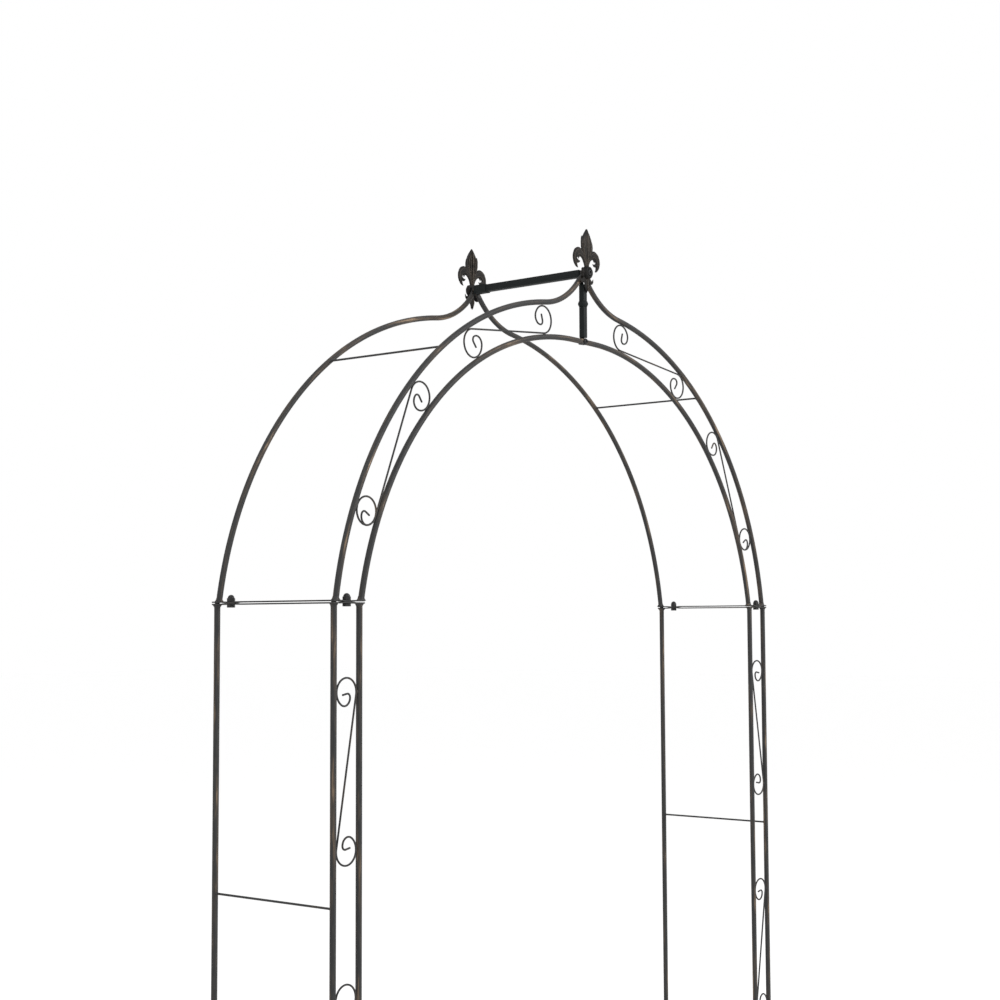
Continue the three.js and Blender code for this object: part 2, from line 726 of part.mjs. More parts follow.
function domeNut() {
  const seat = clearance / 2 + stripThickness + clearance;
  const hex = hexBar(boltAcross, nutHexHeight);
  hex.rotateX(Math.PI / 2);
  hex.translate(0, 0, seat + nutHexHeight / 2);
  const dome = new THREE.SphereGeometry(nutDomeRadius, 12, 8);
  dome.rotateX(Math.PI / 2);
  dome.translate(0, 0, seat + nutHexHeight);
  const bore = uprightBar(boltDiameter + 2 * clearance, seat - 1, seat + nutHexHeight + 1);
  return toGeometry(joinAll([hex, dome]).subtract(toSolid(bore)));
}

function addJointFasteners() {
  for (const { name, sign } of sides) {
    const places = {
      front: [sign * frontBoltX, frontFrame.y],
      back: [sign * halfSpan, backFrame.y - backBoltInset],
    };
    for (const [place, [x, y]] of Object.entries(places)) {
      addPiece(`joint_bolt_${place}_${name}`, jointBolt(), darkBolt).position.set(x, y, jointHeight);
      addPiece(`dome_nut_${place}_${name}`, domeNut(), darkBolt).position.set(x, y, jointHeight);
    }
  }
}

addPosts();
addHoops();
addStrips();
addScrolls();
addCrossbars();
addRidge();
addCentreBar();
addFinials();
addPins();
addJointFasteners();

export default arch;
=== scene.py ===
from math import asin, atan, atan2, cos, hypot, pi, radians, sin, sqrt, tan

import bmesh
import bpy
import numpy as np
from mathutils import Matrix, Vector, noise


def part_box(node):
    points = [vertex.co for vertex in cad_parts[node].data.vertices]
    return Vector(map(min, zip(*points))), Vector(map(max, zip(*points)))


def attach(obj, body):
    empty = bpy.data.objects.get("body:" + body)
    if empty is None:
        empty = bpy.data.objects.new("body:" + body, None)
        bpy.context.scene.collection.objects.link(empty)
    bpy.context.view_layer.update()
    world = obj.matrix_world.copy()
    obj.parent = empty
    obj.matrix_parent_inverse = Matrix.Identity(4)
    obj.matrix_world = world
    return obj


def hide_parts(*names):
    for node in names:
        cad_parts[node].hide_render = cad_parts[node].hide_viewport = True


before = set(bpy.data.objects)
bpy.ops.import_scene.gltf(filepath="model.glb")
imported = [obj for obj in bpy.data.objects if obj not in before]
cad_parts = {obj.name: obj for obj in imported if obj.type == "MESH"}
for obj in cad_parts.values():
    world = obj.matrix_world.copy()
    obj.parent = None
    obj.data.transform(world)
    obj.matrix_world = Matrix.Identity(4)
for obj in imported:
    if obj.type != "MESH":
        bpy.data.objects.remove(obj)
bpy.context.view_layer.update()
noise.seed_set(7)  # so that each run roughens the welds and castings alike
print("frame loaded:", len(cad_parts), "nodes")

upward = Vector((0, 0, 1))
depthwise = Vector((0, 1, 0))
rightward = Vector((1, 0, 0))
sides = {"left": -1, "right": 1}


def middleOf(node):
    low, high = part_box(node)
    return (low + high) / 2


# places that every piece is set out from
place = {
    "halfSpan": middleOf("post_outer_right").x,
    "railX": middleOf("post_inner_right").x,
    "frontY": middleOf("post_outer_right").y,
    "backY": middleOf("post_back_right").y,
    "jointZ": (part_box("joint_strip_upper_left")[1].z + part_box("joint_strip_lower_left")[0].z) / 2,
    "hoopFoot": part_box("joint_strip_upper_left")[1].z,
    "postTop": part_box("joint_strip_lower_left")[0].z,
    "postFoot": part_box("foot_strip_left")[1].z,
    "apexZ": middleOf("finial_bolt_front").z,
    "crownZ": middleOf("crown_bolt").z,
}


# finishes

class Signal:  # a socket that arithmetic works on
    def __init__(self, graph, socket):
        self.graph = graph
        self.socket = socket

    def reckon(self, operation, first, second):
        return self.graph.node("ShaderNodeMath", {"operation": operation}, {0: first, 1: second})

    def __add__(self, other):
        return self.reckon("ADD", self, other)

    def __radd__(self, other):
        return self.reckon("ADD", other, self)

    def __sub__(self, other):
        return self.reckon("SUBTRACT", self, other)

    def __rsub__(self, other):
        return self.reckon("SUBTRACT", other, self)

    def __mul__(self, other):
        return self.reckon("MULTIPLY", self, other)

    def __rmul__(self, other):
        return self.reckon("MULTIPLY", other, self)


class Graph:  # a node tree and the one way its nodes are made
    def __init__(self, tree):
        self.tree = tree

    def feed(self, socket, value):
        if isinstance(value, Signal):
            self.tree.links.new(value.socket, socket)
        else:
            socket.default_value = value

    def node(self, kind, settings, inputs, output=0):
        made = self.tree.nodes.new(kind)
        for key, value in settings.items():
            setattr(made, key, value)
        for key, value in inputs.items():
            self.feed(made.inputs[key], value)
        return Signal(self, made.outputs[output])


class Finish(Graph):  # one material and the patterns that it is mixed from
    def __init__(self, name, colour, roughness):
        self.material = bpy.data.materials.new(name)
        self.material.use_nodes = True
        super().__init__(self.material.node_tree)
        self.shader = self.tree.nodes["Principled BSDF"]
        self.onto("Base Color", (*colour, 1))
        self.onto("Roughness", roughness)

    def onto(self, name, value):
        self.feed(self.shader.inputs[name], value)

    def mottle(self, where, stretch, detail=2.0, roughness=0.5):  # soft noise, stretched three ways
        laid = self.node("ShaderNodeMapping", {}, {"Vector": where, "Scale": stretch}, "Vector")
        return self.node("ShaderNodeTexNoise", {}, {
            "Vector": laid, "Scale": 1.0, "Detail": detail, "Roughness": roughness})

    def step(self, value, low, high):
        return self.node("ShaderNodeMapRange", {"interpolation_type": "SMOOTHSTEP"}, {
            "Value": value, "From Min": low, "From Max": high})

    def blend(self, mask, first, second):
        colours = [value if isinstance(value, Signal) else (*value, 1) for value in (first, second)]
        return self.node("ShaderNodeMix", {"data_type": "RGBA"}, {
            0: mask, 6: colours[0], 7: colours[1]}, 2)

    def bump(self, height, strength, distance):
        return self.node("ShaderNodeBump", {}, {
            "Strength": strength, "Distance": distance, "Height": height})


paintLook = {
    "paint": (0.027, 0.0275, 0.0285), "dust": (0.046, 0.045, 0.043),
    "worn": (0.078, 0.060, 0.046), "bronze": (0.215, 0.157, 0.108),
    # how finely each pattern lies off and along the bar
    "patches": (150.0, 150.0, 10.0),  # one side of the bar, a hand's breadth long
    "stretches": (20.0, 20.0, 3.2),
    "strokes": (700.0, 700.0, 40.0),
    "grain": (1500.0, 1500.0, 900.0),
}


def rubbedPaint(name, rubFrom, rubTo, strongest=1.0, paint=None, metal=None):  # dark paint that lets metal through
    finish = Finish(name, paintLook["paint"], 0.5)
    along = finish.node("ShaderNodeAttribute", {"attribute_name": "alongBar"}, {}, "Vector")
    patches = finish.mottle(along, paintLook["patches"])
    stretches = finish.mottle(along, paintLook["stretches"])
    strokes = finish.mottle(along, paintLook["strokes"], 3.0, 0.6)
    grain = finish.mottle(along, paintLook["grain"])
    rub = patches * 0.50 + stretches * 0.32 + strokes * 0.18
    worn = finish.step(rub, rubFrom, rubTo) * strongest
    bare = finish.step(rub + grain * 0.06, rubTo + 0.01, rubTo + 0.09) * strongest
    dust = tuple(value * 1.7 for value in paint) if paint else paintLook["dust"]
    clouded = finish.blend(finish.step(strokes, 0.35, 0.75), paint or paintLook["paint"], dust)
    tinted = finish.blend(worn * 0.8, clouded, paintLook["worn"])
    finish.onto("Base Color", finish.blend(bare * 0.9, tinted, metal or paintLook["bronze"]))
    finish.onto("Roughness", 0.52 + grain * 0.12 - bare * 0.18)
    finish.onto("Metallic", bare * 0.7)
    finish.onto("Normal", finish.bump(grain * 0.6 + strokes * 0.4, 0.35, 0.0003))
    finish.onto("Specular IOR Level", 0.12 if paint else 0.2)
    return finish.material


castLook = {
    "shade": (0.0095, 0.0092, 0.0090), "body": (0.0185, 0.0162, 0.0145), "bronze": (0.105, 0.087, 0.070),
    "clouds": (70.0, 70.0, 70.0), "pits": (900.0, 900.0, 900.0),
}


def castPatina(name):  # dark casting with its raised lines rubbed to bronze
    finish = Finish(name, (0.03, 0.027, 0.024), 0.55)
    where = finish.node("ShaderNodeTexCoord", {}, {}, "Object")
    clouds = finish.mottle(where, castLook["clouds"], 4.0, 0.6)
    pits = finish.mottle(where, castLook["pits"], 3.0, 0.6)
    raised = finish.node("ShaderNodeAttribute", {"attribute_name": "raised"}, {}, "Fac")
    rub = finish.step(raised * 0.58 + clouds * 0.32 + pits * 0.10, 0.66, 0.84)
    base = finish.blend(finish.step(clouds, 0.38, 0.62), castLook["shade"], castLook["body"])
    finish.onto("Base Color", finish.blend(rub * 0.55, base, castLook["bronze"]))
    finish.onto("Roughness", 0.50 + pits * 0.22 - rub * 0.12)
    finish.onto("Metallic", rub * 0.3)
    finish.onto("Normal", finish.bump(pits * 0.5 + clouds * 0.5, 0.5, 0.0005))
    finish.onto("Specular IOR Level", 0.12)
    return finish.material


fastenerLook = {
    "black": (0.014, 0.014, 0.0145), "steel": (0.080, 0.072, 0.063),
    "wear": (320.0, 320.0, 320.0), "grain": (2400.0, 2400.0, 2400.0),
}


def fastenerBlack(name):  # blackened steel, worn in small patches
    finish = Finish(name, (0.02, 0.02, 0.02), 0.42)
    where = finish.node("ShaderNodeTexCoord", {}, {}, "Object")
    wear = finish.mottle(where, fastenerLook["wear"], 3.0, 0.6)
    grain = finish.mottle(where, fastenerLook["grain"])
    rub = finish.step(wear, 0.60, 0.74)
    finish.onto("Base Color", finish.blend(rub * 0.6, fastenerLook["black"], fastenerLook["steel"]))
    finish.onto("Roughness", 0.40 + grain * 0.16)
    finish.onto("Metallic", 0.2 + rub * 0.5)
    finish.onto("Normal", finish.bump(grain, 0.25, 0.0002))
    finish.onto("Specular IOR Level", 0.35)
    return finish.material


finishes = {
    "bar": rubbedPaint("rubbed_paint_bar", 0.49, 0.58),
    "strip": rubbedPaint("rubbed_paint_strip", 0.52, 0.61, 0.6, None, (0.27, 0.255, 0.235)),
    "wire": rubbedPaint("rubbed_paint_wire", 0.53, 0.62, 0.7),
    "black": rubbedPaint("black_paint_square", 0.64, 0.74, 0.3, (0.0085, 0.0105, 0.0105)),
    "cast": castPatina("cast_patina"),
    "bolt": fastenerBlack("black_fastener"),
}
print("finishes made:", len(finishes))


# bars that grow from their end face

def turnTo(beside, across, onward):  # the turn that takes x, y and z to these
    return Matrix((beside, across, onward)).transposed().to_4x4()


def spaceAt(centre, beside, across, onward):  # the space in which a face is scaled about its centre
    return Matrix((beside, across, onward)).to_4x4() @ Matrix.Translation(-centre)


def pushOut(bm, face):  # extrudes a face in place and returns its new end
    made = bmesh.ops.extrude_face_region(bm, geom=[face])["geom"]
    return max((item for item in made if isinstance(item, bmesh.types.BMFace)), key=lambda item: len(item.verts))


class Bar:
    def __init__(self, start, heading, section=None, radius=0.005, count=20, shared=None):
        self.bm = shared or bmesh.new()
        self.heading = heading.normalized()
        self.across = rightward if abs(self.heading.y) > 0.9 else depthwise
        beside = self.across.cross(self.heading)
        where = Matrix.Translation(start) @ turnTo(beside, self.across, self.heading)
        if section:  # a rectangle: width across, height beside
            shape = Matrix.Diagonal((section[1], section[0], 1, 1)) @ Matrix.Rotation(pi / 4, 4, "Z")
            made = bmesh.ops.create_circle(self.bm, cap_ends=True, segments=4, radius=sqrt(0.5),
                                           matrix=where @ shape)
        else:
            made = bmesh.ops.create_circle(self.bm, cap_ends=True, segments=count, radius=radius, matrix=where)
        self.face = made["verts"][0].link_faces[0]
        self.centre = Vector(start)
        self.marks = [self.centre.copy()]

    def moveOut(self, move):
        self.face = pushOut(self.bm, self.face)
        bmesh.ops.translate(self.bm, verts=self.face.verts, vec=move)
        self.centre = self.centre + move

    def widen(self, beside, across):  # the end face, by a share each way
        space = spaceAt(self.centre, self.across.cross(self.heading).normalized(), self.across, self.heading)
        bmesh.ops.scale(self.bm, vec=(beside, across, 1), space=space, verts=self.face.verts)

    def turnFace(self, heading):
        turn = self.heading.rotation_difference(heading).to_matrix()
        bmesh.ops.rotate(self.bm, verts=self.face.verts, cent=self.centre, matrix=turn)
        self.heading = heading

    def grow(self, move, swell=1.0, squeeze=1.0, press=None):
        self.moveOut(move)
        if swell != 1.0 or squeeze != 1.0:
            self.widen(swell, squeeze)
        if press:  # flattened to this half thickness
            for vert in self.face.verts:
                off = vert.co.y - self.centre.y
                vert.co.y = self.centre.y + max(-press, min(press, off))
        self.marks.append(self.centre.copy())

    def run(self, length, steps=1):
        for _ in range(steps):
            self.grow(self.heading * length / steps)

    def spin(self, pivot, axis, angle, steps):  # an arc about a pivot
        made = bmesh.ops.spin(self.bm, geom=[self.face], cent=pivot, axis=axis, angle=angle, steps=steps)
        faces = [item for item in made["geom_last"] if isinstance(item, bmesh.types.BMFace)]
        self.face = faces[0]
        out = self.centre - pivot
        for step in range(1, steps + 1):
            self.centre = pivot + Matrix.Rotation(angle * step / steps, 3, axis) @ out
            self.marks.append(self.centre.copy())
        self.heading = Matrix.Rotation(angle, 3, axis) @ self.heading

    def follow(self, points, widths=None):  # through points, turning at each one
        for i, point in enumerate(points):
            move = point - self.centre
            onward = (points[i + 1] - point) if i + 1 < len(points) else move
            self.moveOut(move)
            self.turnFace((move.normalized() + onward.normalized()).normalized())
            if widths:
                self.widen(*widths[i])
            self.marks.append(point.copy())


seeds = iter(range(1, 400))


def layAlong(mesh, marks):  # off the middle line in x and y, and how far along the bar in z
    points = np.array(marks, float)
    spans = points[1:] - points[:-1]
    lengths = np.linalg.norm(spans, axis=1)
    keep = lengths > 1e-7
    begins, spans, lengths = points[:-1][keep], spans[keep], lengths[keep]
    soFar = np.concatenate([[0], np.cumsum(lengths)[:-1]])
    spots = np.zeros(len(mesh.vertices) * 3)
    mesh.vertices.foreach_get("co", spots)
    spots = spots.reshape(-1, 3)
    out = spots[:, None, :] - begins[None]
    share = np.clip(np.einsum("ijk,jk->ij", out, spans) / lengths ** 2, 0, 1)
    off = out - share[..., None] * spans[None]
    best = np.linalg.norm(off, axis=2).argmin(1)
    rows = np.arange(len(spots))
    ways = spans / lengths[:, None]
    side = np.array([1.0, 0, 0] if abs(ways[0][1]) > 0.9 else [0, 1.0, 0])
    beside = np.cross(side, ways)
    start = 0.37 * next(seeds)
    laid = np.stack([
        off[rows, best] @ side,
        np.einsum("ij,ij->i", off[rows, best], beside[best]),
        soFar[best] + share[rows, best] * lengths[best] + start,
    ], axis=1)
    layer = mesh.attributes.new("alongBar", "FLOAT_VECTOR", "POINT")
    layer.data.foreach_set("vector", laid.astype(np.float32).ravel())


def finishPiece(bm, name, nodes, finish, marks=None, sharp=38):
    bmesh.ops.recalc_face_normals(bm, faces=bm.faces)
    mesh = bpy.data.meshes.new(name)
    bm.to_mesh(mesh)
    bm.free()
    mesh.shade_smooth()
    mesh.set_sharp_from_angle(angle=radians(sharp))
    if marks:
        layAlong(mesh, marks)
    mesh.materials.append(finishes[finish])
    piece = bpy.data.objects.new(name, mesh)
    bpy.context.scene.collection.objects.link(piece)
    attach(piece, "root")
    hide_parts(*nodes)
    return piece


# welds

weld = {
    "embed": 0.0008, "sides": 20, "rings": 5, "bite": 0.97, "flare": 1.7,
    "lumps": 420, "roughen": 0.00035, "spotLumps": 500, "spotRoughen": 0.22,
}


def addWeld(bm, base, heading, radius, height, long, wide, longWay):  # a flared collar of weld metal
    across = heading.cross(longWay).normalized()
    where = Matrix.Translation(base - heading * weld["embed"]) @ turnTo(longWay, across, heading)
    made = bmesh.ops.create_circle(bm, cap_ends=True, segments=weld["sides"], radius=1.0,
                                   matrix=where @ Matrix.Diagonal((long, wide, 1, 1)))
    face = made["verts"][0].link_faces[0]
    collar = list(made["verts"])
    size = (long, wide)
    top = radius * weld["bite"]  # just inside the bar
    step = (height + weld["embed"]) / weld["rings"]
    for ring in range(1, weld["rings"] + 1):
        lean = (1 - ring / weld["rings"]) ** weld["flare"]
        wanted = [top + (start - top) * lean for start in (long, wide)]
        face = pushOut(bm, face)
        bmesh.ops.translate(bm, verts=face.verts, vec=heading * step)
        space = spaceAt(face.calc_center_median(), longWay, across, heading)
        bmesh.ops.scale(bm, vec=(wanted[0] / size[0], wanted[1] / size[1], 1), space=space, verts=face.verts)
        size = wanted
        collar += face.verts
    for vert in collar:
        vert.co += noise.noise_vector(vert.co * weld["lumps"]) * weld["roughen"]


def addSpot(bm, spot, radius, stretch=(1, 1, 1)):  # a lump of weld between a wire and a bar
    made = bmesh.ops.create_icosphere(bm, subdivisions=2, radius=radius,
                                      matrix=Matrix.Translation(spot) @ Matrix.Diagonal((*stretch, 1)))
    for vert in made["verts"]:
        vert.co += noise.noise_vector(vert.co * weld["spotLumps"]) * radius * weld["spotRoughen"]


# posts

post = {
    "radius": 0.0055, "sides": 28,
    "pin": 0.0046, "pinIn": 0.001,  # how far a pin reaches into the post and the hoop
    "weldHeight": 0.0060, "weldLong": 0.0114, "weldWide": 0.0062, "outerReach": 0.85,
}


def buildPost(which, side, sign):
    x = sign * (place["railX"] if which == "inner" else place["halfSpan"])
    y = place["backY"] if which == "back" else place["frontY"]
    foot = Vector((x, y, place["postFoot"]))
    top = Vector((x, y, place["postTop"]))
    bar = Bar(foot - upward * weld["embed"], upward, radius=post["radius"], count=post["sides"])
    bar.run((top - foot).length + 2 * weld["embed"], 6)
    if which != "inner":
        depth = place["hoopFoot"] - place["postTop"] + 2 * post["pinIn"]
        bmesh.ops.create_cone(bar.bm, cap_ends=True, segments=16, radius1=post["pin"], radius2=post["pin"],
                              depth=depth, matrix=Matrix.Translation((x, y, place["jointZ"])))
    way = rightward if which == "inner" else depthwise
    reach = post["weldLong"] * (post["outerReach"] if which == "outer" else 1.0)
    for spot, heading in ((foot, upward), (top, -upward)):
        addWeld(bar.bm, spot, heading, post["radius"], post["weldHeight"], reach, post["weldWide"], way)
    finishPiece(bar.bm, f"post_bar_{which}_{side}", [f"post_{which}_{side}"], "bar", bar.marks)


for side, sign in sides.items():
    for which in ("outer", "inner", "back"):
        buildPost(which, side, sign)
print("posts made")


# hoops

hoop = {
    "radius": 0.0055, "sides": 28, "steps": 56, "tipSteps": 22,
    "springInset": 0.0045, "springLean": radians(9),
    "tipRadius": 0.190, "tipLean": radians(41), "tipOffset": 0.014,
    "crownFlat": 0.035, "footGap": 0.0003, "footIn": 0.0016,
    "weldHeight": 0.0062, "weldLong": 0.0108, "weldWide": 0.0064,
}
lug = {
    "pitch": 0.0033, "half": 0.0015, "eye": 0.0070, "neck": 0.0056, "tip": 0.0006,
    "flatBefore": 1.15,  # the bar is flat from here to its end, in eyes before the bolt
    "taper": (0.2, 0.4, 0.6, 0.8, 1.0), "round": (-0.7, -0.4, 0, 0.4, 0.7, 0.88, 0.97),
}


def outerArcs():  # the hoop's foot in x and z, its lean there, its main radius and where the arcs meet
    footX = place["halfSpan"] - hoop["springInset"]
    lean = hoop["springLean"]
    footZ = place["hoopFoot"] + hoop["footGap"] + hoop["radius"] * sin(lean)
    endZ = place["apexZ"] - hoop["tipOffset"] / tan(hoop["tipLean"])
    tip = hoop["tipRadius"]
    over = tip * cos(hoop["tipLean"]) - (footX - hoop["tipOffset"])
    rise = endZ - footZ + tip * sin(hoop["tipLean"])
    main = (tip ** 2 - over ** 2 - rise ** 2) / (2 * (over * cos(lean) + rise * sin(lean) - tip))
    shoulder = atan2(main * sin(lean) + rise, main * cos(lean) + over)
    return footX, footZ, lean, main, shoulder


def innerArcs():
    footX = place["railX"] - hoop["springInset"]
    footZ = place["hoopFoot"] + hoop["footGap"] + hoop["radius"] * sin(hoop["springLean"])
    lean = pi / 2 - 2 * atan((place["crownZ"] - footZ) / (footX - hoop["crownFlat"]))
    return footX, footZ, lean, (footX - hoop["crownFlat"]) / cos(lean)


def leanWay(sign, lean):
    return Vector((-sign * sin(lean), 0, cos(lean)))


def pressLug(bar, bolt, layer, inward):  # the end of the bar pressed flat around its bolt
    radius, eye = hoop["radius"], lug["eye"]
    layerY = bar.centre.y + inward * (layer - 1) * lug["pitch"]
    length = (bolt - bar.centre).length
    way = (Vector((bolt.x, bar.centre.y, bolt.z)) - bar.centre).normalized()
    bar.turnFace(way)
    start = bar.centre.copy()
    width = radius
    flatAt = length - eye * lug["flatBefore"]
    stations = [flatAt * share for share in lug["taper"]] + [length + eye * off for off in lug["round"]]
    for reach in stations:
        if reach <= flatAt:
            share = reach / flatAt
            wanted = radius + (lug["neck"] - radius) * share
            half = radius + (lug["half"] - radius) * share ** 0.8
            y = start.y + (layerY - start.y) * share
        else:
            least = lug["neck"] if reach < length - eye / 2 else lug["tip"]
            wanted = max(eye * sqrt(max(0, 1 - ((reach - length) / eye) ** 2)), least)
            half = lug["half"]
            y = layerY
        spot = Vector((start.x, y, start.z)) + way * reach
        bar.grow(spot - bar.centre, wanted / width, 1.0, half)
        width = wanted


def buildHoop(which, side, sign):
    back = which == "back"
    y = place["backY"] if back else place["frontY"]
    inward = -1 if back else 1
    layer = 0 if side == "left" else 1
    axis = Vector((0, -sign, 0))
    if which == "inner":
        footX, footZ, lean, radius = innerArcs()
    else:
        footX, footZ, lean, radius, shoulder = outerArcs()
    heading = leanWay(sign, lean)
    foot = Vector((sign * footX, y, footZ))
    below = hoop["footIn"] + hoop["footGap"]
    bar = Bar(foot - heading * below, heading, radius=hoop["radius"], count=hoop["sides"])
    bar.grow(foot - bar.centre)
    pivot = foot - Vector((sign * cos(lean), 0, sin(lean))) * radius
    if which == "inner":
        bar.spin(pivot, axis, pi / 2 - lean, hoop["steps"])
        bar.run(hoop["crownFlat"] - hoop["tipOffset"], 2)
        bolt = Vector((0, y, place["crownZ"]))
    else:
        bar.spin(pivot, axis, shoulder - lean, hoop["steps"])
        outward = Vector((sign * cos(shoulder), 0, sin(shoulder)))
        bar.spin(bar.centre + outward * hoop["tipRadius"], -axis, shoulder - hoop["tipLean"], hoop["tipSteps"])
        bolt = Vector((0, y, place["apexZ"]))
    pressLug(bar, bolt, layer, inward)
    base = Vector((foot.x, y, place["hoopFoot"]))
    way = depthwise if back else rightward
    addWeld(bar.bm, base, upward, hoop["radius"], hoop["weldHeight"], hoop["weldLong"], hoop["weldWide"], way)
    finishPiece(bar.bm, f"hoop_bar_{which}_{side}", [f"hoop_{which}_{side}"], "bar", bar.marks)


for side, sign in sides.items():
    for which in ("outer", "inner", "back"):
        buildHoop(which, side, sign)
print("hoops made")


# strips

strip = {
    "width": 0.014, "thickness": 0.0024, "spread": 0.0016, "pinched": 0.0001,
    "pinchFlat": 0.009, "pinchRamp": 0.012, "backBolt": 0.035, "edge": 0.00045, "overlap": 0.0004,
}


def stripLeg(bm, start, way, length, boltAt, level, rise):  # one leg of the L, pinched at its bolt if it has one
    def lift(at):
        away = 1.0 if boltAt is None else max(0.0, abs(at - boltAt) - strip["pinchFlat"]) / strip["pinchRamp"]
        eased = 0.5 - 0.5 * cos(pi * min(1.0, away))
        gap = strip["pinched"] + (strip["spread"] - strip["pinched"]) * eased
        return level + rise * (gap + strip["thickness"]) / 2

    stops = {0.0, length}
    if boltAt is not None:
        ramp = [strip["pinchFlat"] + strip["pinchRamp"] * share for share in (0, 0.25, 0.5, 0.75, 1)]
        stops |= {boltAt + turn * reach for turn in (-1, 1) for reach in ramp}
    stops = sorted(at for at in stops if 0 <= at <= length)
    begin = Vector((start.x, start.y, lift(stops[0])))
    leg = Bar(begin, way, section=(strip["width"], strip["thickness"]), shared=bm)
    for at in stops[1:]:
        spot = Vector((start.x, start.y, 0)) + way * at
        spot.z = lift(at)
        leg.grow(spot - leg.centre)
    return leg.marks


def roundEdges(bm, offset, segments=2, over=30):
    sharp = [edge for edge in bm.edges
             if len(edge.link_faces) == 2 and edge.calc_face_angle(0) > radians(over)]
    bmesh.ops.bevel(bm, geom=sharp, offset=offset, offset_type="OFFSET", segments=segments,
                    profile=0.5, affect="EDGES", material=-1, clamp_overlap=True)


def buildStrip(sign, level, rise, bolted):
    bm = bmesh.new()
    half = strip["width"] / 2
    corner = Vector((sign * (place["halfSpan"] + half), place["frontY"], 0))
    frontLength = place["halfSpan"] - place["railX"] + strip["width"]
    front = stripLeg(bm, corner, -rightward * sign, frontLength,
                     frontLength / 2 if bolted else None, level, rise)
    back = Vector((sign * place["halfSpan"], place["backY"] + half, 0))
    sideLength = place["backY"] - place["frontY"] + strip["overlap"]
    side = stripLeg(bm, back, -depthwise, sideLength, strip["backBolt"] + half if bolted else None, level, rise)
    roundEdges(bm, strip["edge"])
    return bm, side + front[1:]


for side, sign in sides.items():
    for which, rise in (("upper", 1), ("lower", -1)):
        bm, marks = buildStrip(sign, place["jointZ"], rise, True)
        finishPiece(bm, f"flat_strip_{which}_{side}", [f"joint_strip_{which}_{side}"], "strip", marks)
    bm, marks = buildStrip(sign, -strip["spread"] / 2, 1, False)
    finishPiece(bm, f"flat_strip_foot_{side}", [f"foot_strip_{side}"], "strip", marks)
print("strips made")


# scrolls

scroll = {
    "radius": 0.00175, "clearance": 0.0003, "headInset": 0.153, "footInset": 0.092,
    "arcs": ((1.0, 240, 40), (0.58, 120, 22), (0.27, 100, 16)),  # radius over the eye's, degrees, steps
    "stub": 0.45, "tip": 0.55,  # the stub over the eye's radius, and the wire's narrowed end over its own
    "lowBearings": (13.2, 35.5), "highBearings": (52.9, 76.0),
    "weld": 0.0024, "weldStretch": (1, 1.15, 1.25),
}


def hoopTrail(which):  # points down the middle of a front hoop, measured on the right
    if which == "inner":
        footX, footZ, lean, radius = innerArcs()
        arcs = [(radius, lean, pi / 2)]
    else:
        footX, footZ, lean, radius, shoulder = outerArcs()
        arcs = [(radius, lean, shoulder), (-hoop["tipRadius"], shoulder, hoop["tipLean"])]
    x, z = footX, footZ
    trail = []
    for bend, begin, end in arcs:
        for step in range(400):
            now = begin + (end - begin) * step / 400
            trail.append((x - bend * (cos(begin) - cos(now)), z + bend * (sin(now) - sin(begin))))
        x -= bend * (cos(begin) - cos(end))
        z += bend * (sin(end) - sin(begin))
    if which == "inner":
        trail += [(x - hoop["crownFlat"] * step / 40, z) for step in range(40)]
    return np.array(trail)


trails = {which: hoopTrail(which) for which in ("outer", "inner")}


def onBearing(which, bearing):
    trail = trails[which]
    angles = np.arctan2(trail[:, 1] - place["jointZ"], trail[:, 0])
    return trail[np.abs(angles - bearing).argmin()]


def nearestOn(which, x, z):
    away = trails[which] - (x, z)
    lengths = np.hypot(away[:, 0], away[:, 1])
    best = lengths.argmin()
    return lengths[best], atan2(away[best][1], away[best][0])


def eyeBetween(sign, degrees):  # the circle that fits between the two front hoops
    outer, inner = (onBearing(which, radians(degrees)) for which in ("outer", "inner"))
    low, high = 0.0, 1.0
    for _ in range(24):
        middle = (low + high) / 2
        x, z = inner + (outer - inner) * middle
        if nearestOn("inner", x, z)[0] < nearestOn("outer", x, z)[0]:
            low = middle
        else:
            high = middle
    rails = [nearestOn(which, x, z) for which in ("outer", "inner")]
    reach = min(rail[0] for rail in rails)
    turned = [rail[1] if sign > 0 else pi - rail[1] for rail in rails]
    return {"x": sign * x, "z": z, "rails": turned,
            "radius": reach - hoop["radius"] - scroll["radius"] - scroll["clearance"]}


def spiral(eye, start, hand):  # from the crossing wire into the eye, arc by arc, to a straight stub
    held = min((hand * (rail - start)) % (2 * pi) for rail in eye["rails"])
    middle = Vector((eye["x"], place["frontY"], eye["z"]))
    radius = eye["radius"]
    points = []
    angle = start
    for share, turn, steps in ((1.0, None, 10), *scroll["arcs"]):
        outward = Vector((cos(angle), 0, sin(angle)))
        middle = middle + outward * (radius - eye["radius"] * share)
        radius = eye["radius"] * share
        swept = held if turn is None else radians(turn)
        begin = 0 if turn is None else 1
        for step in range(begin, steps + 1):
            now = angle + hand * swept * step / steps
            points.append(middle + Vector((cos(now), 0, sin(now))) * radius)
        angle += hand * swept
    along = angle + hand * pi / 2
    stub = Vector((cos(along), 0, sin(along))) * eye["radius"] * scroll["stub"]
    points += [points[-1] + stub * share for share in (0.34, 0.67, 1.0)]
    touch = start + hand * held
    rim = eye["radius"] + scroll["radius"] + scroll["clearance"] / 2
    weldSpot = Vector((eye["x"] + rim * cos(touch), place["frontY"], eye["z"] + rim * sin(touch)))
    return points, weldSpot


